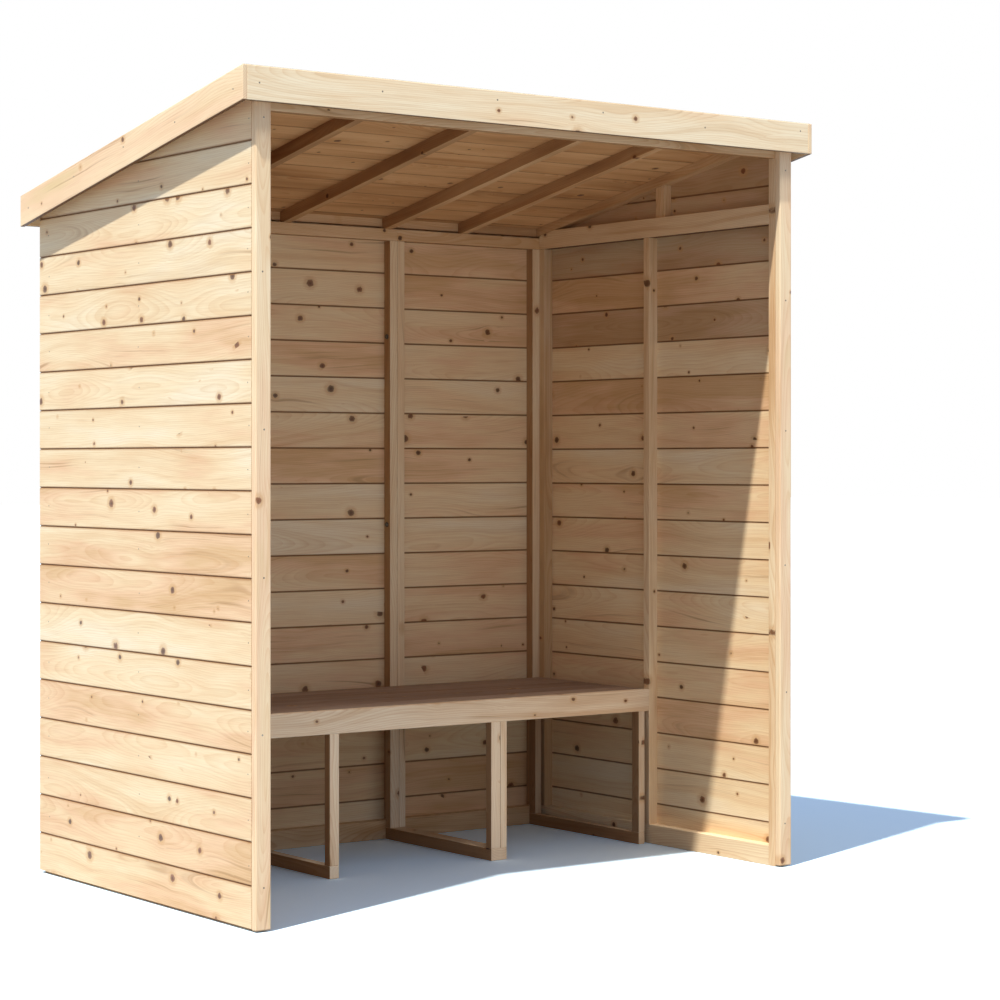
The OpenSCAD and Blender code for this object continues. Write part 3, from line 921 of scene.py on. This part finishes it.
up = (0, math.sin(SLOPE), math.cos(SLOPE))
end_clouts, lap_clouts = (20, (0.1015, 0.0, 0.0)), (26, (0.0768, 0.0, 0.0))
side_clouts = (12, (0.0, SIDE_CLOUT_STEP, -SIDE_CLOUT_STEP * FALL))
clouts = [
    (up, (x, y, felt_top(y) + lift), (0.001, 0.0, 0.0), columns, ONE)
    for x, y, lift, columns in (
        (END_CLOUTS_FROM, edge_y - CLOUT_INSET, -FELT_DROP, end_clouts),
        (END_CLOUTS_FROM, CLOUT_INSET - edge_y, -FELT_DROP, end_clouts),
        (LAP_CLOUTS_FROM, LAP[1] - LAP_CLOUT_INSET, FELT, lap_clouts),
        (CLOUT_INSET - edge_x, SIDE_CLOUTS_FROM, -FELT_DROP, side_clouts),
        (edge_x - CLOUT_INSET, SIDE_CLOUTS_FROM, -FELT_DROP, side_clouts),
    )
]
clout = [(0.0, -0.0010), (0.0040, -0.0010), (0.0040, 0.0001), (0.0026, 0.0004), (0.0, 0.0005)]
fixings("felt_clouts", clout, 10, nails, nail_steel, clouts)

BOLT_Y, LOWEST_BOLT, BOLT_STEP = 0.5895, 0.40, 0.60

bolt_steel = steel_finish("dull_zinc", (128, 116, 100), (88, 78, 66))
bolts = fixings_tree(bolt_steel)
washer = [(0.0, -0.0004), (0.0085, -0.0004), (0.0088, 0.0008), (0.0084, 0.0014), (0.0, 0.0014)]
nut = [(0.0, 0.0012), (0.0055, 0.0012), (0.0058, 0.0020), (0.0058, 0.0056), (0.0050, 0.0064),
       (0.0, 0.0064)]
bolt_grids = []
pairs = (("back_left_studs", "back_middle_studs"), ("back_middle_studs", "back_right_studs"))
for left_node, right_node in pairs:
    seam_x = (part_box(left_node)[1].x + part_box(right_node)[0].x) / 2
    for way in (-1, 1):
        bolt_grids.append(((way, 0, 0), (seam_x + way * STUD_WIDTH, BOLT_Y, LOWEST_BOLT),
                           (0, 0, 0), ONE, (3, (0.0, 0.0, BOLT_STEP))))
fixings("bolt_washers", washer, 16, bolts, bolt_steel, bolt_grids)
fixings("bolt_nuts", nut, 6, bolts, bolt_steel, bolt_grids)


# --- Floor, light and camera -----------------------------------------------------------------
# A plain pale floor with a cool shade, a sun from the front left, a soft high light over the
# front, an even sky, and a long lens at the height of a standing child's eyes.

SUN_WAY = Vector((0.520, 0.195, -1.0))
SUN_LEVEL = 4.10
SUN_SPREAD = math.radians(1.2)
FRONT_WAY = Vector((0.0, 0.34, -0.94))
FRONT_LEVEL = 2.0
FRONT_SPREAD = math.radians(11)
SKY_LEVEL = 0.43
SKY_SHADE = (0.84, 0.94, 1.16, 1.0)
FLOOR_SEEN = (0.98, 1.26, 1.52, 1.0)
FLOOR_SENT = (0.38, 0.37, 0.37, 1.0)
FLOOR_HALF = 60.0
EYE = Vector((-4.310, -6.2505, 1.1966))
TURN = math.radians(36.37)
LENS = 92.79
SHIFT = -0.0370


def shown_rays(start):
    """1 on the rays by which the camera sees a thing, straight or in a reflection, else 0."""
    path = start.node("ShaderNodeLightPath")
    seen = start.maths("MAXIMUM", path["Is Camera Ray"], path["Is Glossy Ray"])
    return start.maths("MAXIMUM", seen, path["Is Transmission Ray"])


floor_mesh = bpy.data.meshes.new("floor")
bm = bmesh.new()
bmesh.ops.create_grid(bm, x_segments=1, y_segments=1, size=FLOOR_HALF)
bm.to_mesh(floor_mesh)
bm.free()
floor = bpy.data.objects.new("floor", floor_mesh)
bpy.context.scene.collection.objects.link(floor)
floor_paint, start, out = new_finish("pale_floor")
seen = shown_rays(start)
dark = start.node("ShaderNodeBsdfDiffuse", {}, {"Color": FLOOR_SENT})
pale = start.node("ShaderNodeBsdfDiffuse", {}, {"Color": FLOOR_SEEN})
both = start.node("ShaderNodeMixShader", {}, {0: seen, 1: dark, 2: pale})
floor_paint.node_tree.links.new(both.socket, out.inputs["Surface"])
floor_mesh.materials.append(floor_paint)
floor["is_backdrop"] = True

for name, way, level, spread, colour in (
    ("sun", SUN_WAY, SUN_LEVEL, SUN_SPREAD, (1.0, 0.955, 0.865)),
    ("front_light", FRONT_WAY, FRONT_LEVEL, FRONT_SPREAD, (1.0, 0.96, 0.90)),
):
    lamp_data = bpy.data.lights.new(name, "SUN")
    lamp_data.energy = level
    lamp_data.angle = spread
    lamp_data.color = colour
    lamp = bpy.data.objects.new(name, lamp_data)
    lamp.rotation_euler = way.to_track_quat("-Z", "Y").to_euler()
    bpy.context.scene.collection.objects.link(lamp)

# the last of the lamps, the front light, leaves the floor out
ground = bpy.data.collections.new("ground")
ground.objects.link(floor)
lamp.light_linking.receiver_collection = ground
ground.collection_objects[0].light_linking.link_state = "EXCLUDE"

world = bpy.data.worlds.new("sky")
world.use_nodes = True
world.node_tree.nodes.clear()
sky = Wire(world.node_tree)
seen = shown_rays(sky)
lit = sky.node("ShaderNodeBackground", {}, {"Color": SKY_SHADE, "Strength": SKY_LEVEL})
shown = sky.node("ShaderNodeBackground", {}, {"Color": (1.0, 1.0, 1.0, 1.0), "Strength": 1.0})
both = sky.node("ShaderNodeMixShader", {}, {0: seen, 1: lit, 2: shown})
sky.node("ShaderNodeOutputWorld", {}, {"Surface": both})
bpy.context.scene.world = world

camera_data = bpy.data.cameras.new("camera")
camera_data.lens = LENS
camera_data.sensor_width = 36.0
camera_data.shift_y = SHIFT
camera = bpy.data.objects.new("camera", camera_data)
camera.location = EYE
camera.rotation_euler = (math.pi / 2, 0.0, -TURN)
bpy.context.scene.collection.objects.link(camera)
bpy.context.scene.camera = camera
bpy.context.scene.view_settings.view_transform = "Standard"

bpy.context.view_layer.update()
for box in (cad_box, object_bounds()):
    json.dumps([list(corner) for corner in box]) + "\n"
